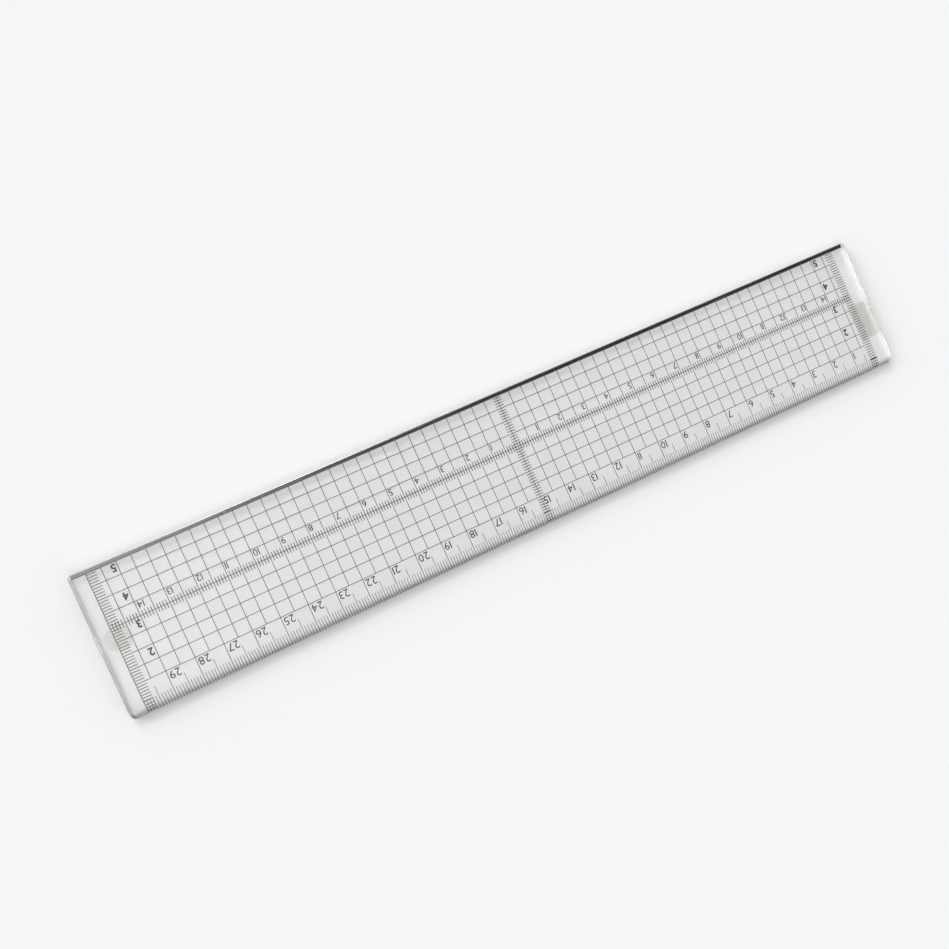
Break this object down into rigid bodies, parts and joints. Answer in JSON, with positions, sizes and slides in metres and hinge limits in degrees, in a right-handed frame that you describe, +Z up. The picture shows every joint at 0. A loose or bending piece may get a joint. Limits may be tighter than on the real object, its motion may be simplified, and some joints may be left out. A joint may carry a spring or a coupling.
{
  "type": "grid cutting ruler",
  "caption": "Clear acrylic grid ruler with a bevelled millimetre edge, printed grid and numerals, a stainless steel cutting edge and slip pads underneath.",
  "frame": {"origin": "under the middle of the 300 mm scale and of the width, on the plane that the ruler rests on", "axes": "+X along the scale from 0 to 30 cm, +Y out of the bevelled millimetre edge, +Z up through the reading face"},
  "size_m": [0.3108, 0.051, 0.003],
  "materials": {
    "clear_acrylic": "clear, polished, moulded edges",
    "stainless": "ground along its length",
    "strip_glue": "thin grey glue line",
    "ink": "dark screen print, thin",
    "grey_pad": "soft, matt, translucent grey",
    "clear_pad": "soft, translucent",
    "pad_glue": "thin clear glue film"
  },
  "bodies": {
    "root": {"acrylic_plate": "clear_acrylic", "steel_edge_strip": "stainless", "strip_bond_line": "strip_glue", "rectangular_slip_pad": "grey_pad", "rectangular_pad_glue": "pad_glue", "round_slip_pad": "clear_pad", "round_pad_glue": "pad_glue", "zero_end_scale_print": "ink", "far_end_scale_print": "ink", "middle_scale_print": "ink", "edge_scale_print": "ink", "centre_line_scale_print": "ink", "grid_print": "ink"}
  },
  "joints": []
}
